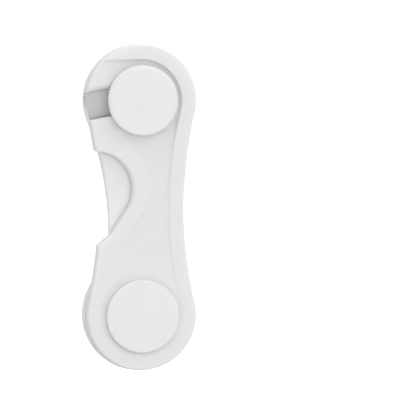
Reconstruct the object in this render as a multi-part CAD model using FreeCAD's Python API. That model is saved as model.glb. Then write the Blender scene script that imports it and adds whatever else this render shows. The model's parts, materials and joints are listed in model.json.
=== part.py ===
import FreeCAD, Part
import math
import os

# Swing latch that keeps a sash, shutter or door shut: a rigid arm turns on one
# stick-on base and hooks over a push-button keeper on a second stick-on base.
#
# Frame: the backs of both adhesive pads lie in the plane Y = 0 and the front of
# the latch faces -Y.  The origin is on the arm's pivot axis, X runs to the right
# seen from the front and Z runs from the pivot up to the keeper.
# Heights ("h") are distances forward of the adhesive plane, so h = -Y.

# ---- driving dimensions, millimetres ---------------------------------------
spacing = 79.0             # pivot axis to keeper axis

pad_thick = 1.0            # foam adhesive
plate_top = 4.0            # front face of both base plates
pivot_plate_r = 21.1
keeper_plate_r = 20.4
pad_inset = 0.8            # pads stop short of the plate's edge
tongue_half = 11.2         # narrowest half-width of the keeper plate's tongue
tongue_waist_z = 31.25
tongue_gap = 0.8           # between the tongue's end and the pivot plate
plate_edge = 0.7           # rounding of the plates' front edges
dish_r = 19.4              # shallow bowl in the keeper plate, round its post
dish_flat_r = 9.0
dish_floor = 2.0

arm_back_h = 4.3           # rear face of the arm
arm_shell_h = 4.5          # rear edge of the arm's outer wall
arm_front = 10.5           # front of the arm's raised rim
arm_end_r = 20.3
arm_waist_half = 15.6
arm_wall = 1.8
arm_inside = 7.5           # underside of the arm's front skin
back_thick = 1.4
back_inset = 1.1           # back cover sits inside the outer wall
back_clear = 0.05
rim = 5.7                  # width of the raised rim
rim_round = 0.8            # the rim's outer and inner front edges
recess_top = 1.45          # depth of the recess above the button
recess_right = 0.45        # and beside the pivot cap, on the right
fade_x, fade_z = -9.6, 26.2    # where its leaning floor comes level with the rim
hook_round = 1.0           # outer edge of the recessed stretch over the slot
moat_r, moat_flare_r = 13.9, 16.1      # soft hollow sunk round the pivot cap
moat_floor = 9.8
moat_past = 0.5            # the hollow's cone runs on past the arm's front

notch_x, notch_z, notch_r = -16.8, 46.4, 13.8   # finger notch, round part
notch_turn = 34.0          # degrees below level where its straight side starts
notch_straight = 10.6      # length of the straight side
lip_left, lip_down = 5.0, 3.9  # from there to the flat lip below the notch
lip_growth = 0.25          # how much faster the lip drops than the notch grows
notch_out_x = -40.0        # clear of the arm, to the left
notch_out_drop = 15.0
corner_round = 1.2

slot_half = 5.0            # arm slot for the keeper post
slot_end = 112.0           # degrees about the pivot, past the arm's left edge
slot_wall = 1.5            # walls beside the slot, inside the arm
slot_wall_start = 93.5     # clear of the catch spring's legs
slot_edge_round = 2.2      # soft front edge on the slot's far side
slot_crisp_round = 0.3     # and crisper edge beside the finger notch
guide_clear = 0.12         # round the glide strip that stands in the slot
guide_start, guide_end = 96.3, 104.2    # degrees about the pivot
guide_seat = 1.8           # its foot, let into the keeper plate
guide_high, guide_low = 7.4, 3.9        # its leaning top, at the far and the near side
guide_fit = 0.05           # between the strip and its pocket
guide_end_round = 0.8

post_r = 4.7               # keeper post
post_top = 10.15            # clears the leaning floor of the arm's recess
spigot_r = 4.2
spigot_top = 11.1
head_r = 7.8
neck_r = 3.6               # groove that the catch spring grips
neck_h0, neck_h1 = 6.1, 7.1
guide_r = 2.2              # bore that guides the plunger
guide_h = 5.2
well_r = 3.4               # wider bore behind it, for the return spring
seat_top = 1.6             # disc that closes the well and carries the spring
head_round = 0.4

button_r = 12.8
button_front = 13.8
button_skirt = 11.4
button_wall = 1.2
button_side = 1.6
button_round = 2.2         # the button's front is rounded most on its upper side
press = 1.4                # travel of the button

stem_r = 2.12
stem_seat = 0.6            # how far the stem's end lies behind the button's front
foot_r = 1.3
foot_h = 3.9
clip_r = 3.1
clip_h0, clip_h1 = 4.5, 5.1
lug_tip = 4.5
lug_half = 1.0
lug_h0, lug_h1 = 7.45, 8.9     # two lugs that spread the catch spring when pressed
lug_slope = 0.6
lug_clear = 0.2
return_r, return_wire = 2.3, 0.25
return_h0, return_h1 = 1.65, 4.45
return_turns = 3.0

pivot_post_r = 5.0
pivot_post_top = 9.4
pivot_clear = 0.05
bush_r = 6.3
bush_flange_r = 8.0
bush_flange = 0.8
hub_floor = 9.3
hub_clear = 1.4            # room round the retainer
retainer_r = 9.0
retainer_top = 10.6
snap_h0, snap_h1 = 10.1, 10.4      # groove in the retainer that holds the cap
snap_depth = 0.35
cap_r = 13.4
cap_drop = 0.25            # the cap sits a little below the pivot's centre
cap_front = 12.2
cap_skirt = 10.15
cap_wall = 1.0
cap_side = 1.6
cap_collar = 1.0           # wall of the collar that snaps onto the retainer
cap_round = 2.0            # and the pivot cap's on its lower side
crisp_round = 0.6
lopsided = 0.7

washer_r = 9.0
washer_clear = 0.1
screw_r = 1.1
screw_foot = 3.0
screw_head_r = 2.9
screw_head_h0, screw_head_h1 = 10.0, 11.0
screw_head_clear = 0.2
screw_head_round = 0.4
recess_w, recess_long, recess_deep = 0.6, 3.2, 0.6     # cross recess in its head
pilot_foot = 2.4           # bottom of the screw's bore in the post
wire_r = 0.45              # catch spring wire
catch_bend_x = 9.0         # middle of the hairpin's bend, right of the post
catch_leg_x = -3.0         # where its legs start to pinch
catch_tip_x = -6.6
catch_pinch = 1.0
catch_clear = 0.03
anchor_r = 3.3             # boss that holds the hairpin's bend

swing = 110.0              # arm's travel, degrees
stop_r0, stop_r1 = 12.2, 14.8
stop_floor = 2.8
stop_lug_half = 4.0        # half the stop lug's width, degrees
stop_clear = 0.25
stop_play_open, stop_play_shut = 1.5, 0.6      # degrees left at each end of the track

case_screws = [(9.6, 27.0), (9.6, 56.0), (-9.0, 66.2), (-13.0, 13.5)]
boss_r = 2.4
case_screw_r = 0.8
case_head_r = 1.7
case_head_deep = 0.9
case_cross_w, case_cross_long = 0.4, 2.0
case_screw_bite = 0.6      # how far the screws reach past the front skin's underside
overlap = 0.1              # how far joined or cut shapes reach into each other


# ---- small helpers ----------------------------------------------------------
FORWARD = FreeCAD.Vector(0, -1, 0)


def at(x, z, h=0.0):
    """The point x to the right, z up and h forward of the adhesive plane."""
    return FreeCAD.Vector(x, -h, z)


def disc(x, z, r, h0, h1):
    """A round solid between two heights."""
    return Part.makeCylinder(r, h1 - h0, at(x, z, h0), FORWARD)


def ring(x, z, r0, r1, h0, h1):
    return disc(x, z, r1, h0, h1).cut(disc(x, z, r0, h0 - overlap, h1 + overlap))


def prism(wire, h0, h1):
    """A closed outline in the adhesive plane, pushed forward from h0 to h1."""
    solid = Part.Face(wire).extrude(FORWARD * (h1 - h0))
    solid.translate(FORWARD * h0)
    return solid


def on_circle(cx, cz, r, degrees):
    """A point on a circle, degrees counted from +X towards +Z."""
    turn = math.radians(degrees)
    return at(cx + r * math.cos(turn), cz + r * math.sin(turn))


def bow(cx, cz, r, start, end):
    """The arc of a circle between two angles."""
    return Part.Arc(
        on_circle(cx, cz, r, start),
        on_circle(cx, cz, r, (start + end) / 2),
        on_circle(cx, cz, r, end),
    ).toShape()


def line(p, q):
    return Part.LineSegment(p, q).toShape()


def annular_sector(r0, r1, start, end, h0, h1):
    """Part of a ring about the pivot axis, between two angles."""
    a = bow(0, 0, r0, start, end)
    b = bow(0, 0, r1, start, end)
    sides = [
        line(on_circle(0, 0, r0, start), on_circle(0, 0, r1, start)),
        line(on_circle(0, 0, r0, end), on_circle(0, 0, r1, end)),
    ]
    return prism(Part.Wire(Part.__sortEdges__([a, b] + sides)), h0, h1)


def dumbbell(end_r, waist_half):
    """Two round ends joined by hollow flanks that are tangent to both."""
    half = spacing / 2
    flank_r = (half ** 2 + waist_half ** 2 - end_r ** 2) / (2 * (end_r - waist_half))
    flank_x = flank_r + waist_half
    lean = math.degrees(math.atan2(half, flank_x))
    edges = [
        bow(0, 0, end_r, 180 - lean, 360 + lean),
        bow(flank_x, half, flank_r, 180 + lean, 180 - lean),
        bow(0, spacing, end_r, -lean, 180 + lean),
        bow(-flank_x, half, flank_r, lean, -lean),
    ]
    return Part.Wire(edges)


def notch_outline(grow=0.0):
    """The finger notch: most of a circle, then a straight side running down and
    out through the arm's left flank.  grow widens it all round."""
    r = notch_r + grow
    turn = math.radians(notch_turn)
    down = at(-math.sin(turn), -math.cos(turn))
    start = on_circle(notch_x, notch_z, r, -notch_turn)
    knee = start + down * notch_straight
    lip = knee + at(-lip_left, -lip_down - lip_growth * grow)
    out = at(notch_out_x, lip.z - notch_out_drop)
    top = at(notch_x, notch_z + r)
    far_top = at(notch_out_x, notch_z + r)
    edges = [
        line(far_top, top),
        bow(notch_x, notch_z, r, 90, -notch_turn),
        line(start, knee),
        line(knee, lip),
        line(lip, out),
        line(out, far_top),
    ]
    return Part.Wire(edges)


def edges_where(shape, test):
    return [e for e in shape.Edges if test(e)]


def height_span(edge):
    box = edge.BoundBox
    return -box.YMax, -box.YMin


def edges_at(shape, h):
    """Edges that lie wholly at one height."""
    return edges_where(shape, lambda e: max(abs(v - h) for v in height_span(e)) < 1e-4)


def rounded(shape, edges, r):
    """Round the edges, or leave them sharp where they can't be rounded."""
    try:
        soft = shape.makeFillet(r, edges)
        if soft.isValid() and soft.Volume > 0:
            return soft
    except Exception as trouble:
        print("left sharp:", len(edges), "edges at r", r, trouble)
    return shape


def round_front(shape, h, r):
    return rounded(shape, edges_at(shape, h), r)


def lopsided_disc(z, r, h0, h1, soft, towards):
    """A disc whose front edge is softly rounded on the side it faces (towards = 1
    up, -1 down) and crisp on the other."""
    crisp = round_front(disc(0, z, r, h0, h1), h1, crisp_round)
    wide = disc(0, z - towards * lopsided, r + lopsided, h0 - 2, h1)
    return crisp.common(round_front(wide, h1, soft))


parts = {}


# ---- stick-on bases ---------------------------------------------------------
def tongue_plate_wire(disc_r, half, end_gap_r):
    """The keeper plate's outline: a disc with a waisted tongue that reaches down
    to a hollow end just clear of the pivot plate."""
    rise = spacing - tongue_waist_z
    flank_r = (rise ** 2 + half ** 2 - disc_r ** 2) / (2 * (disc_r - half))
    flank_x = flank_r + half
    lean = math.degrees(math.atan2(rise, flank_x))
    # where each flank meets the hollow end
    reach = math.hypot(flank_x, tongue_waist_z)
    bearing = math.atan2(tongue_waist_z, flank_x)
    cosine = (end_gap_r ** 2 + reach ** 2 - flank_r ** 2) / (2 * end_gap_r * reach)
    meet = math.degrees(bearing + math.acos(cosine))
    corner = on_circle(0, 0, end_gap_r, meet)
    low = math.degrees(math.atan2(corner.z - tongue_waist_z, corner.x - flank_x)) % 360
    edges = [
        bow(0, spacing, disc_r, -lean, 180 + lean),
        bow(-flank_x, tongue_waist_z, flank_r, lean, 180 - low),
        bow(0, 0, end_gap_r, 180 - meet, meet),
        bow(flank_x, tongue_waist_z, flank_r, low, 180 - lean),
    ]
    return Part.Wire(Part.__sortEdges__(edges))


parts["pivot_pad"] = disc(0, 0, pivot_plate_r - pad_inset, 0, pad_thick)
parts["keeper_pad"] = disc(0, spacing, keeper_plate_r - pad_inset, 0, pad_thick)

plate = disc(0, 0, pivot_plate_r, pad_thick, plate_top)
plate = round_front(plate, plate_top, plate_edge)
plate = plate.fuse(disc(0, 0, pivot_post_r, pad_thick, pivot_post_top))
plate = plate.cut(disc(0, 0, screw_r, pilot_foot, pivot_post_top + 1))
stop_track = annular_sector(
    stop_r0, stop_r1,
    90 - swing - stop_lug_half - stop_play_open, 90 + stop_lug_half + stop_play_shut,
    stop_floor, plate_top + 1,
)
parts["pivot_plate"] = plate.cut(stop_track).removeSplitter()

tongue_end_r = pivot_plate_r + tongue_gap
plate = prism(tongue_plate_wire(keeper_plate_r, tongue_half, tongue_end_r), pad_thick, plate_top)
plate = round_front(plate, plate_top, plate_edge)
dish = Part.makeCone(dish_flat_r, dish_r, plate_top - dish_floor, at(0, spacing, dish_floor), FORWARD)
plate = plate.cut(dish)
plate = plate.fuse(disc(0, spacing, post_r, pad_thick, post_top))
plate = plate.fuse(disc(0, spacing, spigot_r, post_top - 1, spigot_top))
plate = plate.cut(ring(0, spacing, neck_r, post_r + 1, neck_h0, neck_h1))
plate = plate.cut(disc(0, spacing, well_r, 0, guide_h))
plate = plate.cut(disc(0, spacing, guide_r, 0, spigot_top + 1))
# a window across the post lets the lugs sink by the button's travel
window_w = 2 * (lug_half + lug_clear)
window_h0, window_h1 = lug_h0 - press - lug_clear, post_top + 5
window = Part.makeBox(window_w, window_h1 - window_h0, 2 * post_r + 2,
                      at(-window_w / 2, spacing - post_r - 1, window_h1))
plate = plate.cut(window)


def guide_shape():
    """A glide strip that fills the arm's slot beside the post.  It bends with the
    slot, and its top leans down towards the finger notch."""
    r0, r1 = spacing - slot_half + guide_clear, spacing + slot_half - guide_clear
    strip = annular_sector(r0, r1, guide_start, guide_end, guide_seat, guide_high + 2)
    # the lean runs on past the strip's near side, which curves down to the left
    lean = (guide_high - guide_low) / (r1 - r0)
    past = guide_low / lean
    profile = Part.makePolygon([
        at(0, r0 - past, 0),
        at(0, r1, guide_high),
        at(0, r1 + 1, guide_high),
        at(0, r1 + 1, 0),
        at(0, r0 - past, 0),
    ])
    below = Part.Face(profile).extrude(FreeCAD.Vector(-arm_end_r * 2, 0, 0))
    return strip.common(below)


guide = guide_shape()
pocket = annular_sector(
    spacing - slot_half + guide_clear - guide_fit, spacing + slot_half - guide_clear + guide_fit,
    guide_start, guide_end, guide_seat, guide_high,
)
parts["keeper_plate"] = plate.cut(pocket).removeSplitter()
end_x = on_circle(0, 0, spacing, guide_end).x
guide_tips = edges_where(guide, lambda e: e.CenterOfMass.x < end_x + 1 and height_span(e)[0] > guide_low - 1)
parts["slot_guide"] = rounded(guide, guide_tips, guide_end_round)

parts["spring_seat"] = disc(0, spacing, well_r, pad_thick, seat_top)

head = ring(0, spacing, spigot_r, head_r, post_top, spigot_top)
head_edge = [e for e in edges_at(head, spigot_top) if e.Length > 2 * math.pi * spigot_r + 1]
parts["keeper_head"] = rounded(head, head_edge, head_round)


# ---- push button ------------------------------------------------------------
cap = lopsided_disc(spacing, button_r, button_skirt, button_front, button_round, 1)
cap = cap.cut(disc(0, spacing, button_r - button_side, button_skirt - 1, button_front - button_wall))
parts["button_cap"] = cap.cut(disc(0, spacing, stem_r, button_skirt, button_front - stem_seat))

plunger = disc(0, spacing, stem_r, guide_h, button_front - stem_seat)
plunger = plunger.fuse(disc(0, spacing, foot_r, foot_h, guide_h))
for side in (-1, 1):
    lug = Part.makeBox(2 * lug_half, lug_h1 - lug_h0, lug_tip, at(-lug_half, spacing, lug_h1))
    if side < 0:
        lug = lug.mirror(at(0, spacing), FreeCAD.Vector(0, 0, 1))
    tip = [e for e in edges_at(lug, lug_h0)
           if abs(e.BoundBox.ZMax - e.BoundBox.ZMin) < 1e-4
           and abs(e.CenterOfMass.z - spacing) > 1]
    lug = lug.makeChamfer(lug_slope, tip)
    plunger = plunger.fuse(lug)
parts["button_plunger"] = plunger.removeSplitter()
parts["button_clip"] = ring(0, spacing, foot_r, clip_r, clip_h0, clip_h1)


def coil(x, z, mean_r, wire, h0, h1, turns):
    """A compression spring between two heights, from a helix and a round wire."""
    length = h1 - h0 - 2 * wire
    helix = Part.makeHelix(length / turns, length, mean_r)
    start = FreeCAD.Vector(mean_r, 0, 0)
    section = Part.Wire(Part.makeCircle(wire, start, FreeCAD.Vector(0, 1, 0)))
    spring = Part.Wire(helix).makePipeShell([section], True, True)
    spring.rotate(FreeCAD.Vector(), FreeCAD.Vector(1, 0, 0), 90)
    spring.translate(at(x, z, h0 + wire))
    return spring


parts["button_spring"] = coil(0, spacing, return_r, return_wire, return_h0, return_h1, return_turns)


# ---- arm --------------------------------------------------------------------
def slot_cutter(half, h0, h1):
    """The arc-shaped slot that lets the post out to the left as the arm swings."""
    mouth = annular_sector(spacing - half, spacing + half, 90, slot_end, h0, h1)
    return mouth.fuse(disc(0, spacing, half, h0, h1))


def floor_slopes():
    """The recess has one flat floor.  Its depth grows by slope_x for each millimetre
    to the right and by slope_z for each millimetre up."""
    top_z = spacing + arm_end_r - rim
    right_x = arm_waist_half - rim
    low_z = moat_r
    # depth is slope_x * (x - fade_x) + slope_z * (z - fade_z)
    a, b = -fade_x, top_z - fade_z
    c, d = right_x - fade_x, low_z - fade_z
    span = a * d - b * c
    slope_x = (recess_top * d - b * recess_right) / span
    slope_z = (a * recess_right - recess_top * c) / span
    return slope_x, slope_z


def floor_height(x, z):
    slope_x, slope_z = floor_slopes()
    return arm_front - slope_x * (x - fade_x) - slope_z * (z - fade_z)


def recess_outline():
    """The recess inside the raised rim: round the button, out to the left above
    the slot, back in along the lip over the finger notch, and down to the pivot."""
    ring_r = arm_end_r - rim
    waist = arm_waist_half - rim
    half = spacing / 2
    flank_r = (half ** 2 + waist ** 2 - ring_r ** 2) / (2 * (ring_r - waist))
    flank_x = flank_r + waist
    lean = math.degrees(math.atan2(half, flank_x))
    lip_r = notch_r + rim
    turn = math.radians(notch_turn)
    down = at(-math.sin(turn), -math.cos(turn))
    start = on_circle(notch_x, notch_z, lip_r, -notch_turn)
    # where the lip's straight side meets the left flank
    away = start - at(-flank_x, half)
    along, square = away.dot(down), away.dot(away) - flank_r ** 2
    meet = start + down * (-along - math.sqrt(along ** 2 - square))
    meet_turn = math.degrees(math.atan2(meet.z - half, meet.x + flank_x))
    # the ring runs out at the top into a straight edge that leans down to the left
    ring_turn = 92.0
    reach = 2 * ring_r
    lean_down = math.tan(math.radians(ring_turn - 90))
    leave = on_circle(0, spacing, ring_r, ring_turn)
    far = at(leave.x - reach, leave.z - reach * lean_down)
    edges = [
        bow(0, spacing, ring_r, -lean, ring_turn),
        line(on_circle(0, spacing, ring_r, ring_turn), far),
        line(far, at(far.x, notch_z + lip_r)),
        line(at(far.x, notch_z + lip_r), at(notch_x, notch_z + lip_r)),
        bow(notch_x, notch_z, lip_r, 90, -notch_turn),
        line(start, meet),
        bow(-flank_x, half, flank_r, meet_turn, -lean),
        bow(0, 0, ring_r, 180 - lean, 360 + lean),
        bow(flank_x, half, flank_r, 180 + lean, 180 - lean),
    ]
    return Part.Wire(edges)


def under_floor():
    """All that lies behind the plane of the recess's floor."""
    reach = 160.0
    corners = [at(x, z, floor_height(x, z)) for x, z in
               [(-reach, -reach), (reach, -reach), (reach, reach), (-reach, reach)]]
    face = Part.Face(Part.makePolygon(corners + corners[:1]))
    return face.extrude(FORWARD * -30)


def soft_edge_cutter():
    """Rounds the slot's front edge on the side away from the finger notch."""
    side = spacing + slot_half
    soft = slot_edge_round
    sag = soft * (1 - math.sqrt(0.5))
    top = floor_height(-(button_r + arm_end_r) / 2, side)
    edges = [
        line(at(0, side - 0.5, top - soft), at(0, side, top - soft)),
        Part.Arc(
            at(0, side, top - soft),
            at(0, side + sag, top - sag),
            at(0, side + soft, top),
        ).toShape(),
        line(at(0, side + soft, top), at(0, side + soft, top + 1)),
        line(at(0, side + soft, top + 1), at(0, side - 0.5, top + 1)),
        line(at(0, side - 0.5, top + 1), at(0, side - 0.5, top - soft)),
    ]
    face = Part.Face(Part.Wire(edges))
    return face.revolve(FreeCAD.Vector(), FreeCAD.Vector(0, 1, 0), -24)


arm = prism(dumbbell(arm_end_r, arm_waist_half), arm_shell_h, arm_front)
arm = arm.cut(prism(notch_outline(), 0, arm_front + 1))


def is_notch_corner(edge):
    low, high = height_span(edge)
    middle = edge.CenterOfMass
    return high - low > 3 and middle.x < -12 and 15 < middle.z < 65


arm = rounded(arm, edges_where(arm, is_notch_corner), corner_round)

# the rim stands round a deep well, which is filled again up to the leaning floor
well = prism(recess_outline(), arm_inside + 0.5, arm_front + 2)
rimmed = round_front(arm.cut(well), arm_front, rim_round)
tall = prism(dumbbell(arm_end_r, arm_waist_half), arm_shell_h, arm_front + 3)
tall = tall.cut(prism(notch_outline(), 0, arm_front + 4)).common(under_floor())


def is_floor_edge(edge):
    ends = [edge.valueAt(edge.FirstParameter), edge.valueAt(edge.LastParameter)]
    ends.append(edge.valueAt((edge.FirstParameter + edge.LastParameter) / 2))
    return all(abs(-p.y - floor_height(p.x, p.z)) < 1e-3 for p in ends)


hook_edges = [e for e in edges_where(tall, is_floor_edge) if e.CenterOfMass.z > spacing]
filling = rounded(tall, hook_edges, hook_round).common(round_front(arm, arm_front, rim_round))
arm = rimmed.fuse(filling).removeSplitter()
moat_deep = arm_front - moat_floor
moat_wide = moat_flare_r + moat_past * (moat_flare_r - moat_r) / moat_deep
moat = Part.makeCone(moat_r, moat_wide, moat_deep + moat_past, at(0, 0, moat_floor), FORWARD)
arm = arm.cut(moat)
arm = arm.cut(slot_cutter(slot_half, 0, arm_front + 1))
arm = arm.cut(soft_edge_cutter())


def is_crisp_slot_edge(edge):
    """The slot's front edge on the side of the finger notch."""
    low, high = height_span(edge)
    middle = edge.CenterOfMass
    reach = math.hypot(middle.x, middle.z)
    near = spacing - slot_half
    forward = abs(-middle.y - floor_height(middle.x, middle.z)) < 0.1
    return forward and high - low < 0.8 and abs(reach - near) < 0.4


arm = rounded(arm, edges_where(arm, is_crisp_slot_edge), slot_crisp_round)

# hollow inside, open at the back
inset = arm_wall
hollow = prism(dumbbell(arm_end_r - inset, arm_waist_half - inset), 4, arm_inside)
hollow = hollow.cut(prism(notch_outline(inset), 0, arm_front + 1))
hollow = hollow.cut(disc(0, 0, bush_flange_r + hub_clear, 0, arm_front))
walls = annular_sector(
    spacing - slot_half - slot_wall, spacing + slot_half + slot_wall,
    slot_wall_start, slot_end, 0, arm_front,
)
hollow = hollow.cut(walls)
for x, z in case_screws:
    hollow = hollow.cut(disc(x, z, boss_r, 0, arm_front))
hollow = hollow.cut(disc(catch_bend_x, spacing, anchor_r, 0, arm_front))
arm = arm.cut(hollow)
back_outline = prism(
    dumbbell(arm_end_r - back_inset, arm_waist_half - back_inset), arm_back_h, arm_back_h + back_thick)
back_outline = back_outline.cut(prism(notch_outline(back_inset), 0, arm_front + 1))
arm = arm.cut(back_outline)
back_outline = prism(
    dumbbell(arm_end_r - back_inset - back_clear, arm_waist_half - back_inset - back_clear),
    arm_back_h, arm_back_h + back_thick)
back_outline = back_outline.cut(prism(notch_outline(back_inset + back_clear), 0, arm_front + 1))
arm = arm.cut(disc(0, 0, bush_r, 0, arm_front + 1))
arm = arm.cut(disc(0, 0, bush_flange_r, hub_floor - bush_flange, arm_front + 1))
arm = arm.cut(disc(0, 0, retainer_r + hub_clear, hub_floor, arm_front + 1))
for x, z in case_screws:
    arm = arm.cut(disc(x, z, case_screw_r, 4, arm_inside + case_screw_bite))
parts["arm_shell"] = arm.removeSplitter()

back = back_outline.cut(slot_cutter(slot_half, 0, arm_front))
back = back.cut(disc(0, 0, bush_r, 0, arm_front))
back = back.fuse(annular_sector(
    stop_r0 + stop_clear, stop_r1 - stop_clear, 90 - stop_lug_half, 90 + stop_lug_half,
    stop_floor + stop_clear, arm_back_h + overlap,
))
screws = []
for x, z in case_screws:
    face_h = arm_back_h + overlap
    sink = Part.makeCone(case_head_r, case_screw_r, case_head_deep, at(x, z, face_h), FORWARD)
    shank = disc(x, z, case_screw_r, face_h, arm_inside + case_screw_bite)
    clear = disc(x, z, case_head_r, arm_back_h - overlap, face_h)
    screw = sink.fuse(shank)
    back = back.cut(clear).cut(screw)
    w, long = case_cross_w, case_cross_long
    cross = Part.makeBox(long, w, w, at(x - long / 2, z - w / 2, face_h + w))
    cross = cross.fuse(Part.makeBox(w, w, long, at(x - w / 2, z - long / 2, face_h + w)))
    screws.append(screw.cut(cross).removeSplitter())
parts["arm_back"] = back.removeSplitter()
parts["arm_screws"] = Part.makeCompound(screws)

bush = ring(0, 0, pivot_post_r + pivot_clear, bush_r, arm_back_h, hub_floor)
bush = bush.fuse(ring(0, 0, bush_r, bush_flange_r, hub_floor - bush_flange, hub_floor))
parts["pivot_bush"] = bush.removeSplitter()


def catch_wire():
    """A hairpin held in the arm: its bend lies to the right of the post, and its
    two legs run along the neck and pinch together on the far side of it."""
    reach = neck_r + wire_r + catch_clear
    h = (neck_h0 + neck_h1) / 2
    path = [
        line(at(catch_leg_x, spacing + reach, h), at(catch_bend_x, spacing + reach, h)),
        Part.Arc(
            at(catch_bend_x, spacing + reach, h),
            at(catch_bend_x + reach, spacing, h),
            at(catch_bend_x, spacing - reach, h),
        ).toShape(),
        line(at(catch_bend_x, spacing - reach, h), at(catch_leg_x, spacing - reach, h)),
    ]
    start = at(catch_leg_x, spacing + reach, h)
    section = Part.Wire(Part.makeCircle(wire_r, start, FreeCAD.Vector(1, 0, 0)))
    spring = Part.Wire(path).makePipeShell([section], True, False)
    for side in (-1, 1):
        bend = at(catch_leg_x, spacing + side * reach, h)
        tip = at(catch_tip_x, spacing + side * (reach - catch_pinch), h)
        lean = tip - bend
        leg = Part.makeCylinder(wire_r, lean.Length, bend, lean)
        spring = spring.fuse(leg).fuse(Part.makeSphere(wire_r, bend)).fuse(Part.makeSphere(wire_r, tip))
    return spring


parts["catch_spring"] = catch_wire()


# ---- pivot fastening and its cap -------------------------------------------
parts["friction_washer"] = ring(0, 0, pivot_post_r + washer_clear, washer_r, plate_top, arm_back_h)

collar = disc(0, 0, retainer_r, pivot_post_top, retainer_top)
collar = collar.cut(disc(0, 0, screw_r, pivot_post_top - 1, retainer_top + 1))
collar = collar.cut(disc(0, 0, screw_head_r + screw_head_clear, screw_head_h0, retainer_top + 1))
collar = collar.cut(ring(0, 0, retainer_r - snap_depth, retainer_r + 1, snap_h0, snap_h1))
parts["pivot_retainer"] = collar

screw = disc(0, 0, screw_r, screw_foot, screw_head_h0 + overlap)
screw = screw.fuse(round_front(disc(0, 0, screw_head_r, screw_head_h0, screw_head_h1),
                               screw_head_h1, screw_head_round))
for turned in (0, 90):
    slot = Part.makeBox(recess_long, recess_deep + 1, recess_w,
                        at(-recess_long / 2, -recess_w / 2, screw_head_h1 + 1))
    slot.rotate(at(0, 0), FreeCAD.Vector(0, 1, 0), turned)
    screw = screw.cut(slot)
parts["pivot_screw"] = screw.removeSplitter()

cap = lopsided_disc(-cap_drop, cap_r, cap_skirt, cap_front, cap_round, -1)
cap = cap.cut(disc(0, -cap_drop, cap_r - cap_side, cap_skirt - 1, cap_front - cap_wall))
cap = cap.fuse(ring(0, 0, retainer_r, retainer_r + cap_collar, cap_skirt, cap_front - cap_wall + overlap))
cap = cap.fuse(ring(0, 0, retainer_r - snap_depth, retainer_r + overlap, snap_h0, snap_h1))
parts["pivot_cap"] = cap.removeSplitter()


# ---- write one STEP file per piece -----------------------------------------
os.makedirs("parts", exist_ok=True)
for name, shape in parts.items():
    shape.exportStep("parts/" + name + ".step")
    box = shape.BoundBox
    print("%-16s %d solid(s) valid=%s %9.1f mm3  X %.1f..%.1f  Y %.1f..%.1f  Z %.1f..%.1f" % (
        name, len(shape.Solids), shape.isValid(), shape.Volume,
        box.XMin, box.XMax, box.YMin, box.YMax, box.ZMin, box.ZMax))
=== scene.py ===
# %% [markdown]
# # A stick-on swing latch: finishes and fine detail
#
# The latch holds a sash or a cupboard door shut.  A waisted arm turns on a round base, and hooks
# sideways over a post on a second round base.  A round button on that post frees it.
#
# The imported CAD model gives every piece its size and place.  This lesson adds what CAD leaves
# plain: foam pads, wound springs and cut threads, and a finish for each material.  Loading comes
# first, because every later step takes its places from the frame.

# %% Load the frame
import json
import math

import bmesh
import bpy
from mathutils import Matrix, Vector


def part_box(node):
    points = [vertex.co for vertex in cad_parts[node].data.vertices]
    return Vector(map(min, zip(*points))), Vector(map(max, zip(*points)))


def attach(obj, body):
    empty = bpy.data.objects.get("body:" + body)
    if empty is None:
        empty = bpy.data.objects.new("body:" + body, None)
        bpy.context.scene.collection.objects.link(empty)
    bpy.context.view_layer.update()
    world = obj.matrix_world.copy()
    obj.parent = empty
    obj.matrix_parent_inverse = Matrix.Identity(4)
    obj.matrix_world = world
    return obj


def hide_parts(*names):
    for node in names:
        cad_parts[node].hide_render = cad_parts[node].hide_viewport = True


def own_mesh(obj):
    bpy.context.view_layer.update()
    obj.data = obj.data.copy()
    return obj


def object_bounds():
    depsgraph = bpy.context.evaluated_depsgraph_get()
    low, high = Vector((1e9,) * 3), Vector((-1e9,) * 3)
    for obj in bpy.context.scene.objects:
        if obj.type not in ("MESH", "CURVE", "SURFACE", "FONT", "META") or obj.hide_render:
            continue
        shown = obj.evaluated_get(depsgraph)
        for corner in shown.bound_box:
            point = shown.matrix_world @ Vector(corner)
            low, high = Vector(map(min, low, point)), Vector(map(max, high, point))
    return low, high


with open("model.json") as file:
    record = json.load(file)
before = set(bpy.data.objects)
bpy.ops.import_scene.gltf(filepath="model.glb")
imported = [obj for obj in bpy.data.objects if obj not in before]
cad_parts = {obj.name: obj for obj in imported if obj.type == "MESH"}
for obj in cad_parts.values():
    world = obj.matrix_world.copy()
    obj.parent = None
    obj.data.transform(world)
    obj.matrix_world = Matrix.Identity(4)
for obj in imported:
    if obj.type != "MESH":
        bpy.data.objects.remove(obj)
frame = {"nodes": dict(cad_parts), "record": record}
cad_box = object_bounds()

MM = 0.001
node = frame["nodes"]
print("pieces in the frame:", ", ".join(sorted(node)))

# %% [markdown]
# ## The camera
#
# The latch is seen nearly square on, a little from its left and a little from above, through a
# long lens, which keeps its round ends round.  A short lens close by would also fill the frame,
# but it would spread the sides apart.  The latch stands left of the middle, so the camera aims
# at a point to its right.

# %% Camera
view_from_left = math.radians(12.4)
view_from_above = math.radians(3.7)
frame_width = 152.9 * MM
lens_mm, sensor_mm = 200.0, 36.0
aim_right, aim_up = 24.8 * MM, 0.2 * MM

to_camera = Vector((
    -math.sin(view_from_left) * math.cos(view_from_above),
    -math.cos(view_from_left) * math.cos(view_from_above),
    math.sin(view_from_above),
))
camera_right = Vector((math.cos(view_from_left), -math.sin(view_from_left), 0))
camera_up = to_camera.cross(camera_right)
middle = (Vector(cad_box[0]) + Vector(cad_box[1])) / 2
aim = middle + camera_right * aim_right + camera_up * aim_up
distance = frame_width * lens_mm / sensor_mm

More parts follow.
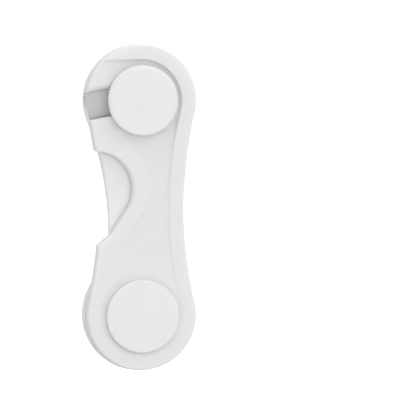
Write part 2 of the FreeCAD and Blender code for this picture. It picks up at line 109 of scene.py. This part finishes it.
camera = bpy.data.objects.new("camera", bpy.data.cameras.new("camera"))
camera.data.lens, camera.data.sensor_width = lens_mm, sensor_mm
camera.location = aim + to_camera * distance
camera.rotation_euler = to_camera.to_track_quat("Z", "Y").to_euler()
bpy.context.collection.objects.link(camera)
bpy.context.scene.camera = camera
print("camera %.2f m from its aim" % distance)

# %% [markdown]
# ## Light and floor
#
# White plastic shows its shape only through soft differences of light, so most of it comes
# evenly from all round, as in a light tent whose cloth is brightest above, a little to the right.
# Several small lamps would also be bright enough, but each would draw hard shadows in the
# shallow recess.  The cloth looks whiter through the lens than it shines on the latch, which a
# real tent does with a second lamp on the paper behind.

# %% Light tent
tent_light = 0.70
tent_bright_side = 0.42
bright_from = Vector((0.38, 0, 0.92))
tent_seen = 1.1


def light_tent():
    world = bpy.data.worlds.new("light_tent")
    world.use_nodes = True
    nodes, links = world.node_tree.nodes, world.node_tree.links
    white = (1, 1, 1, 1)
    look = nodes.new("ShaderNodeTexCoord")
    towards = nodes.new("ShaderNodeVectorMath")
    towards.operation = "DOT_PRODUCT"
    towards.inputs[1].default_value = bright_from
    links.new(look.outputs["Generated"], towards.inputs[0])
    rise = nodes.new("ShaderNodeMapRange")
    rise.inputs["To Min"].default_value = tent_light
    rise.inputs["To Max"].default_value = tent_light + tent_bright_side
    links.new(towards.outputs["Value"], rise.inputs["Value"])
    shine = nodes["Background"]
    shine.inputs["Color"].default_value = white
    links.new(rise.outputs["Result"], shine.inputs["Strength"])
    seen = nodes.new("ShaderNodeBackground")
    seen.inputs["Color"].default_value = white
    seen.inputs["Strength"].default_value = tent_seen
    path = nodes.new("ShaderNodeLightPath")
    mix = nodes.new("ShaderNodeMixShader")
    links.new(path.outputs["Is Camera Ray"], mix.inputs[0])
    links.new(shine.outputs[0], mix.inputs[1])
    links.new(seen.outputs[0], mix.inputs[2])
    links.new(mix.outputs[0], nodes["World Output"].inputs["Surface"])
    return world


bpy.context.scene.world = light_tent()
bpy.context.scene.view_settings.view_transform = "Standard"
print("light tent in place")

# %% Front panel


def panel_light(name, place, width, height, watts):
    """A soft rectangular lamp that faces the middle of the latch."""
    lamp = bpy.data.lights.new(name, "AREA")
    lamp.shape = "RECTANGLE"
    lamp.size, lamp.size_y, lamp.energy = width, height, watts
    holder = bpy.data.objects.new(name, lamp)
    holder.location = place
    holder.rotation_euler = (Vector(place) - middle).to_track_quat("Z", "Y").to_euler()
    bpy.context.collection.objects.link(holder)
    return holder


panel_light("front_panel", (0, -0.95, 0.04), 0.45, 0.45, 1.55)
print("front panel in place")

# %% Floor
floor_drop = 60 * MM
floor_half = 2.0
floor_white, floor_dull, floor_glow = (0.95, 0.95, 0.95, 1), 0.9, 0.9


def pale_floor():
    """A glowing sheet of white acrylic, which lights nothing but itself."""
    ground = bmesh.new()
    bmesh.ops.create_grid(ground, x_segments=1, y_segments=1, size=floor_half)
    bmesh.ops.translate(ground, verts=ground.verts, vec=(0, 0, cad_box[0][2] - floor_drop))
    mesh = bpy.data.meshes.new("floor")
    ground.to_mesh(mesh)
    ground.free()
    floor = bpy.data.objects.new("floor", mesh)
    bpy.context.collection.objects.link(floor)
    acrylic = bpy.data.materials.new("floor_acrylic")
    acrylic.use_nodes = True
    shader = acrylic.node_tree.nodes["Principled BSDF"]
    shader.inputs["Base Color"].default_value = floor_white
    shader.inputs["Roughness"].default_value = floor_dull
    shader.inputs["Emission Color"].default_value = (1, 1, 1, 1)
    shader.inputs["Emission Strength"].default_value = floor_glow
    mesh.materials.append(acrylic)
    floor.visible_diffuse = False
    floor.visible_glossy = False
    return floor


pale_floor()
print("floor %.0f mm under the latch" % (floor_drop / MM))

# %% [markdown]
# ## Finishes
#
# Every finish here is one shader with patterns in the object's own coordinates.  A moulded part
# has the fine matt grain of its tool, long soft waves where the plastic shrank, and patches a
# shade duller than the rest.  A painted image could show the same, but a pattern worked out from
# noise has no edge and no seam.

# %% Patterns


def noise(tree, size_mm, detail=2.0, stretch=(1, 1, 1)):
    """A noise pattern whose blobs are about size_mm across."""
    nodes, links = tree.nodes, tree.links
    place = nodes.new("ShaderNodeTexCoord")
    scale = nodes.new("ShaderNodeMapping")
    scale.inputs["Scale"].default_value = stretch
    pattern = nodes.new("ShaderNodeTexNoise")
    pattern.inputs["Scale"].default_value = 1 / (size_mm * MM)
    pattern.inputs["Detail"].default_value = detail
    links.new(place.outputs["Object"], scale.inputs["Vector"])
    links.new(scale.outputs["Vector"], pattern.inputs["Vector"])
    return pattern.outputs["Fac"]


def between(tree, fac, low, high):
    """The middle of a noise pattern, spread from low to high."""
    spread = tree.nodes.new("ShaderNodeMapRange")
    spread.inputs["From Min"].default_value = 0.3
    spread.inputs["From Max"].default_value = 0.7
    spread.inputs["To Min"].default_value = low
    spread.inputs["To Max"].default_value = high
    tree.links.new(fac, spread.inputs["Value"])
    return spread.outputs["Result"]


def two_shades(tree, fac, dark, light):
    mix = tree.nodes.new("ShaderNodeMix")
    mix.data_type = "RGBA"
    mix.inputs["A"].default_value = (*dark, 1)
    mix.inputs["B"].default_value = (*light, 1)
    tree.links.new(between(tree, fac, 0, 1), mix.inputs["Factor"])
    return mix.outputs["Result"]


def relief(tree, fac, depth_mm, under=None):
    """Turns a pattern into relief of that depth, on top of another relief."""
    bumps = tree.nodes.new("ShaderNodeBump")
    bumps.inputs["Distance"].default_value = depth_mm * MM
    tree.links.new(fac, bumps.inputs["Height"])
    if under:
        tree.links.new(under, bumps.inputs["Normal"])
    return bumps.outputs["Normal"]


def new_finish(name):
    finish = bpy.data.materials.new(name)
    finish.use_nodes = True
    return finish, finish.node_tree, finish.node_tree.nodes["Principled BSDF"]


print("patterns ready")

# %% [markdown]
# ## Moulded plastics
#
# The latch is white ABS, which is slightly translucent, so light bleeds a millimetre or so into
# it and softens every groove.  A plain diffuse white would leave the gaps round the caps much
# too dark.  The two caps are thin, and from a glossier mould: with as much bleed as the arm they
# would lose light to their hollow backs and look grey.  The sliding parts are uncoloured acetal,
# coloured here a shade greyer than it is: that extra grey is painted shade for the slot they sit
# in.

# %% Moulded plastics
patch_mm, sheen_mm = 9.0, 2.4
wave_mm, wave_deep_mm = 14.0, 0.02
grain_deep_mm = 0.004


def moulded_plastic(name, dark, light, dull, grain_mm, bleed, bleed_mm):
    finish, tree, shader = new_finish(name)
    shader.inputs["Subsurface Weight"].default_value = bleed
    shader.inputs["Subsurface Radius"].default_value = (1.0, 0.95, 0.9)
    shader.inputs["Subsurface Scale"].default_value = bleed_mm * MM
    shader.inputs["IOR"].default_value = 1.52
    patches = noise(tree, patch_mm, 3.0)
    tree.links.new(two_shades(tree, patches, dark, light), shader.inputs["Base Color"])
    sheen = noise(tree, sheen_mm, 4.0)
    tree.links.new(between(tree, sheen, dull - 0.04, dull + 0.05), shader.inputs["Roughness"])
    waves = relief(tree, noise(tree, wave_mm, 1.0), wave_deep_mm)
    grain = relief(tree, noise(tree, grain_mm), grain_deep_mm, waves)
    tree.links.new(grain, shader.inputs["Normal"])
    return finish


white_low, white_high = (0.92, 0.92, 0.92), (0.95, 0.95, 0.95)
cap_low, cap_high = (0.88, 0.88, 0.88), (0.91, 0.91, 0.91)
# Acetal's own off-white, darkened: the extra grey is painted shade for the slot it sits in.
acetal_painted_shade_low, acetal_painted_shade_high = (0.72, 0.72, 0.71), (0.76, 0.76, 0.75)
white_abs = moulded_plastic("white_abs", white_low, white_high, 0.46, 0.22, 0.7, 2.2)
cap_abs = moulded_plastic("cap_abs", cap_low, cap_high, 0.40, 0.18, 0.12, 0.5)
# The acetal finish carries painted shade: its grey stands for the shadow in the slot.
acetal = moulded_plastic("natural_acetal", acetal_painted_shade_low, acetal_painted_shade_high, 0.36, 0.15, 0.4, 1.0)
print("plastics:", white_abs.name, cap_abs.name, acetal.name)

# %% [markdown]
# ## Foam and metal
#
# Foam shows as tiny closed cells along its cut edge, which a cell pattern gives as both pits
# and speckle.  Spring wire and plated screws are drawn or rolled, so their noise is stretched
# along one axis into fine marks.

# %% Foam and metal
cell_mm, cell_deep_mm, speckle_mm = 0.35, 0.05, 1.2
mark_mm, mark_deep_mm = 0.3, 0.004


def closed_cell_foam():
    finish, tree, shader = new_finish("closed_cell_foam")
    place = tree.nodes.new("ShaderNodeTexCoord")
    cells = tree.nodes.new("ShaderNodeTexVoronoi")
    cells.inputs["Scale"].default_value = 1 / (cell_mm * MM)
    tree.links.new(place.outputs["Object"], cells.inputs["Vector"])
    speckle = noise(tree, speckle_mm, 4.0)
    shades = two_shades(tree, speckle, (0.66, 0.66, 0.64), (0.78, 0.78, 0.76))
    tree.links.new(shades, shader.inputs["Base Color"])
    pits = relief(tree, cells.outputs["Distance"], cell_deep_mm)
    tree.links.new(pits, shader.inputs["Normal"])
    tree.links.new(between(tree, speckle, 0.78, 0.92), shader.inputs["Roughness"])
    return finish


def bright_metal(name, dark, light, dull, stretch):
    finish, tree, shader = new_finish(name)
    shader.inputs["Metallic"].default_value = 1.0
    marks = noise(tree, mark_mm, 3.0, stretch)
    tree.links.new(two_shades(tree, marks, dark, light), shader.inputs["Base Color"])
    tree.links.new(between(tree, marks, dull - 0.06, dull + 0.08), shader.inputs["Roughness"])
    tree.links.new(relief(tree, marks, mark_deep_mm), shader.inputs["Normal"])
    return finish


steel_low, steel_high = (0.42, 0.42, 0.43), (0.58, 0.58, 0.59)
zinc_low, zinc_high = (0.58, 0.60, 0.63), (0.72, 0.73, 0.75)
foam = closed_cell_foam()
spring_steel = bright_metal("spring_steel", steel_low, steel_high, 0.28, (1, 4, 1))
zinc = bright_metal("zinc_plate", zinc_low, zinc_high, 0.30, (1, 1, 3))
print("foam and metals:", foam.name, spring_steel.name, zinc.name)

# %% [markdown]
# ## CAD pieces that keep their shape
#
# The arm, the caps, the base plates and the small mouldings are already right in shape, with
# their edges rounded.  Copying them in mesh code would only lose exactness, so each keeps its
# mesh and gets its finish.

# %% Finish the CAD pieces
finish_of_slot = {
    "white_plastic": white_abs,
    "natural_acetal": acetal,
    "spring_steel": spring_steel,
    "zinc_screw": zinc,
    "foam_tape": foam,
}
finish_of_node = {"button_cap": cap_abs, "pivot_cap": cap_abs}
slot_of = {part["node"]: part["material_slot"] for part in frame["record"]["subparts"]}
for name, piece in node.items():
    for slot in piece.material_slots:
        slot.material = finish_of_node.get(name, finish_of_slot[slot_of[name]])
print(len(node), "CAD pieces finished")

# %% [markdown]
# ## Helpers for new pieces
#
# New pieces are modelled in millimetres round their own axis, with the front of the latch
# towards -Y as in the frame, and set in place at the end.  The place goes into the mesh, so the
# object itself stays at the origin and its patterns don't slide.

# %% From a bmesh to a piece
merge_mm = 0.002
crease = math.radians(35)


def centre_of(name):
    """The middle of a CAD node across its axis, and its heights forward of the wall."""
    low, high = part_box(name)
    x, z = (low[0] + high[0]) / 2, (low[2] + high[2]) / 2
    return x / MM, z / MM, -high[1] / MM, -low[1] / MM


def settle(shape, name, x, z, finish, body, slot, *stands_for):
    """Puts a finished bmesh in place as a piece that rides on a body."""
    shape.transform(Matrix.Scale(MM, 4) @ Matrix.Translation((x, 0, z)))
    mesh = bpy.data.meshes.new(name)
    shape.to_mesh(mesh)
    shape.free()
    mesh.shade_smooth()
    mesh.set_sharp_from_angle(angle=crease)
    mesh.materials.append(finish)
    piece = bpy.data.objects.new(name, mesh)
    bpy.context.collection.objects.link(piece)
    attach(piece, body)
    if stands_for:
        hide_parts(*stands_for)
    print(name, len(mesh.polygons), "faces")
    return piece


def outward(shape):
    """Merges a shape's seam and points its faces outwards."""
    bmesh.ops.remove_doubles(shape, verts=shape.verts, dist=merge_mm)
    bmesh.ops.recalc_face_normals(shape, faces=shape.faces)


def spin_outline(shape, outline, steps):
    """Turns an open outline of (radius, height) points about the piece's axis."""
    chain = [shape.verts.new((r, -h, 0)) for r, h in outline]
    edges = [shape.edges.new(pair) for pair in zip(chain, chain[1:])]
    bmesh.ops.spin(shape, geom=chain + edges, cent=(0, 0, 0), axis=(0, 1, 0), dvec=(0, 0, 0),
                   angle=math.tau, steps=steps, use_merge=True, use_normal_flip=False,
                   use_duplicate=False)
    outward(shape)


# %% [markdown]
# ## Foam pads
#
# Each base is stuck down by a die-cut disc of double-sided foam tape.  The blade drags its two
# skins over the soft core, so the edge is hollow between two rounded rims.  An extruded circle
# would be a flat slab, so the edge is drawn as an outline and spun.

# %% Foam pads
skin_mm = 0.16
hollow_mm = 0.12
edge_steps, pad_steps = 8, 144
ring_parts = (0, 0.25, 0.5, 0.75, 0.92)


def foam_pad(name, stands_for):
    low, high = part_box(stands_for)
    x, z, back, front = centre_of(stands_for)
    radius = (high[0] - low[0]) / 2 / MM
    thick = front - back
    edge = [(radius - skin_mm, back)]
    for step in range(edge_steps + 1):
        along = step / edge_steps
        pulled = hollow_mm * math.sin(math.pi * along)
        edge.append((radius - pulled, back + skin_mm / 2 + along * (thick - skin_mm)))
    edge.append((radius - skin_mm, front))
    rings = [radius * part for part in ring_parts]
    outline = [(r, back) for r in rings] + edge + [(r, front) for r in reversed(rings)]
    shape = bmesh.new()
    spin_outline(shape, outline, pad_steps)
    pad = settle(shape, name, x, z, foam, "base", "foam_tape", stands_for)
    return pad


foam_pad("pivot_foam_pad", "pivot_pad")
foam_pad("keeper_foam_pad", "keeper_pad")

# %% [markdown]
# ## The button's return spring
#
# A small compression spring lifts the button again.  A real one is wound with its two ends
# closed, so that it stands flat on its seat, and only its middle is open.  A round wire
# is spun about the axis and pushed along it at each step, slowly at the ends and faster between.
# The finished coil shortens with the button's travel.

# %% Return spring
coil_r, wire_mm, wire_sides = 2.3, 0.25, 12
turn_gap_mm = 0.02
open_turns, end_turns, turn_steps = 1.5, 0.75, 48


def close_ends(shape):
    """Caps the open ends of a wound wire."""
    open_edges = [edge for edge in shape.edges if edge.is_boundary]
    bmesh.ops.holes_fill(shape, edges=open_edges, sides=0)


def wind(shape, last, turns, pitch):
    """Winds the wire on by some turns, and gives the new end."""
    steps = round(turns * turn_steps)
    made = bmesh.ops.spin(shape, geom=last, cent=(0, 0, 0), axis=(0, 1, 0),
                          dvec=(0, -pitch * turns / steps, 0), angle=math.tau * turns,
                          steps=steps, use_merge=False, use_normal_flip=False,
                          use_duplicate=False)
    return made["geom_last"]


def return_spring():
    x, z, back, front = centre_of("button_spring")
    length = front - back - 2 * wire_mm
    closed = 2 * wire_mm + turn_gap_mm
    pitch = (length - 2 * closed * end_turns) / open_turns
    shape = bmesh.new()
    ring = bmesh.ops.create_circle(shape, cap_ends=False, segments=wire_sides, radius=wire_mm)
    bmesh.ops.translate(shape, verts=ring["verts"], vec=(coil_r, -back - wire_mm, 0))
    end = ring["verts"] + shape.edges[:]
    end = wind(shape, end, end_turns, closed)
    end = wind(shape, end, open_turns, pitch)
    wind(shape, end, end_turns, closed)
    close_ends(shape)
    outward(shape)
    spring = settle(shape, "return_spring", x, z, spring_steel, "base", "spring_steel",
                    "button_spring")
    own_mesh(spring)
    return spring


return_spring()

# %% [markdown]
# ## The catch spring
#
# A hairpin of spring wire rides in the arm and grips the neck of the post.  Its bend sits round
# a boss and its two legs run past the post, then pinch together behind it.  Half of it is made
# from one ring of points, by spins for the bends and pushes for the legs, and mirrored.

# %% Catch spring
catch_wire_mm, catch_sides = 0.45, 16
pinch_mm = 1.0
knee_x, knee_r = -3.0, 1.6
bend_steps, knee_steps = 24, 6
tip_round, tip_steps = 0.3, 4


def push(shape, last, vec):
    """Draws the wire on in a straight line, and gives the new end."""
    edges = [part for part in last if isinstance(part, bmesh.types.BMEdge)]
    made = bmesh.ops.extrude_edge_only(shape, edges=edges)["geom"]
    verts = [part for part in made if isinstance(part, bmesh.types.BMVert)]
    bmesh.ops.translate(shape, verts=verts, vec=vec)
    on = set(verts)
    return verts + [edge for edge in shape.edges if edge.verts[0] in on and edge.verts[1] in on]


def bend(shape, last, cent, degrees, steps):
    """Bends the wire on round a centre, and gives the new end."""
    made = bmesh.ops.spin(shape, geom=last, cent=cent, axis=(0, 1, 0), dvec=(0, 0, 0),
                          angle=math.radians(degrees), steps=steps, use_merge=False,
                          use_normal_flip=False, use_duplicate=False)
    return made["geom_last"]


def catch_spring():
    low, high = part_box("catch_spring")
    _, z, back, front = centre_of("catch_spring")
    reach = (high[2] - low[2]) / 2 / MM - catch_wire_mm
    left, right = low[0] / MM, high[0] / MM
    bend_x = right - catch_wire_mm - reach
    lean = math.degrees(math.atan2(pinch_mm, knee_x - left - catch_wire_mm))
    height = (back + front) / 2
    shape = bmesh.new()
    ring = bmesh.ops.create_circle(shape, cap_ends=False, segments=catch_sides,
                                   radius=catch_wire_mm)
    bmesh.ops.translate(shape, verts=ring["verts"], vec=(bend_x + reach, -height, 0))
    end = ring["verts"] + shape.edges[:]
    end = bend(shape, end, (bend_x, -height, 0), -90, bend_steps)
    end = push(shape, end, (knee_x - bend_x, 0, 0))
    end = bend(shape, end, (knee_x, -height, reach - knee_r), -lean, knee_steps)
    tip = math.radians(lean)
    leg = knee_x - knee_r * math.sin(tip) - left - catch_wire_mm
    end = push(shape, end, (-leg, 0, -leg * math.tan(tip)))
    rim = [part for part in end if isinstance(part, bmesh.types.BMEdge)]
    bmesh.ops.holes_fill(shape, edges=rim, sides=0)
    bmesh.ops.bevel(shape, geom=rim, affect="EDGES", offset=tip_round, offset_type="OFFSET",
                    segments=tip_steps, profile=0.5, material=-1, clamp_overlap=True)
    bmesh.ops.mirror(shape, geom=shape.verts[:] + shape.edges[:] + shape.faces[:],
                     axis="Z", merge_dist=merge_mm)
    outward(shape)
    return settle(shape, "catch_hairpin", 0, z, spring_steel, "arm", "spring_steel",
                  "catch_spring")


catch_spring()

# %% [markdown]
# ## Screw threads
#
# The screws cut their own threads in the plastic, which needs a thin, steep ridge with a wide
# flat between its turns.  CAD gives plain shanks, so each gets its ridge here: a three-cornered
# section that is wound up the shank like the spring.

# %% One ridge
thread_root = 0.05


def wind_thread(shape, radius, foot, top, pitch, high, wide, x=0, z=0):
    """Winds a ridge round a shank, between two heights, and sets it on the shank's axis."""
    before = set(shape.verts)
    section = [(radius - thread_root, foot), (radius + high, foot + wide / 2),
               (radius - thread_root, foot + wide)]
    corners = [shape.verts.new((r, -h, 0)) for r, h in section]
    edges = [shape.edges.new((corners[i], corners[(i + 1) % 3])) for i in range(3)]
    wind(shape, corners + edges, (top - foot - wide) / pitch, pitch)
    close_ends(shape)
    added = [vert for vert in shape.verts if vert not in before]
    bmesh.ops.translate(shape, verts=added, vec=(x, 0, z))


# %% Pivot screw's thread
pivot_shank_r, pivot_pitch, pivot_high, pivot_wide = 1.1, 0.8, 0.28, 0.34
pivot_foot, pivot_top = 0.4, 1.9


def pivot_thread():
    x, z, back, front = centre_of("pivot_screw")
    shape = bmesh.new()
    wind_thread(shape, pivot_shank_r, back + pivot_foot, front - pivot_top,
                pivot_pitch, pivot_high, pivot_wide)
    outward(shape)
    return settle(shape, "pivot_screw_thread", x, z, zinc, "base", "zinc_screw")


pivot_thread()

# %% [markdown]
# ## The arm's four screws
#
# All four are one CAD node, so their places are found in its mesh: points that share an edge
# belong to one screw.  Typing the places in again would also work, but they would be wrong as
# soon as a screw was moved.

# %% Find the arm's screws


def loose_centres(name):
    """The middle of each separate solid in a CAD node, from a merged copy of its mesh."""
    shape = bmesh.new()
    shape.from_mesh(node[name].data)
    bmesh.ops.remove_doubles(shape, verts=shape.verts, dist=0.001 * MM)
    left = set(shape.verts)
    centres = []
    while left:
        waiting = [left.pop()]
        found = waiting[:]
        while waiting:
            point = waiting.pop()
            near = {edge.other_vert(point) for edge in point.link_edges} & left
            left -= near
            waiting += near
            found += near
        across = [vert.co.x for vert in found]
        along = [vert.co.z for vert in found]
        centres.append(((min(across) + max(across)) / 2 / MM, (min(along) + max(along)) / 2 / MM))
    shape.free()
    return sorted(centres)


screw_places = loose_centres("arm_screws")
print("arm screws at", ["%.1f, %.1f" % place for place in screw_places])

# %% Their threads
arm_shank_r, arm_pitch, arm_high, arm_wide = 0.8, 0.6, 0.2, 0.26
under_head, short_of_tip = 1.0, 0.1


def arm_threads():
    _, _, back, front = centre_of("arm_screws")
    shape = bmesh.new()
    for x, z in screw_places:
        wind_thread(shape, arm_shank_r, back + under_head, front - short_of_tip,
                    arm_pitch, arm_high, arm_wide, x, z)
    outward(shape)
    return settle(shape, "arm_screw_threads", 0, 0, zinc, "arm", "zinc_screw")


arm_threads()

# %% End
print("scene built")
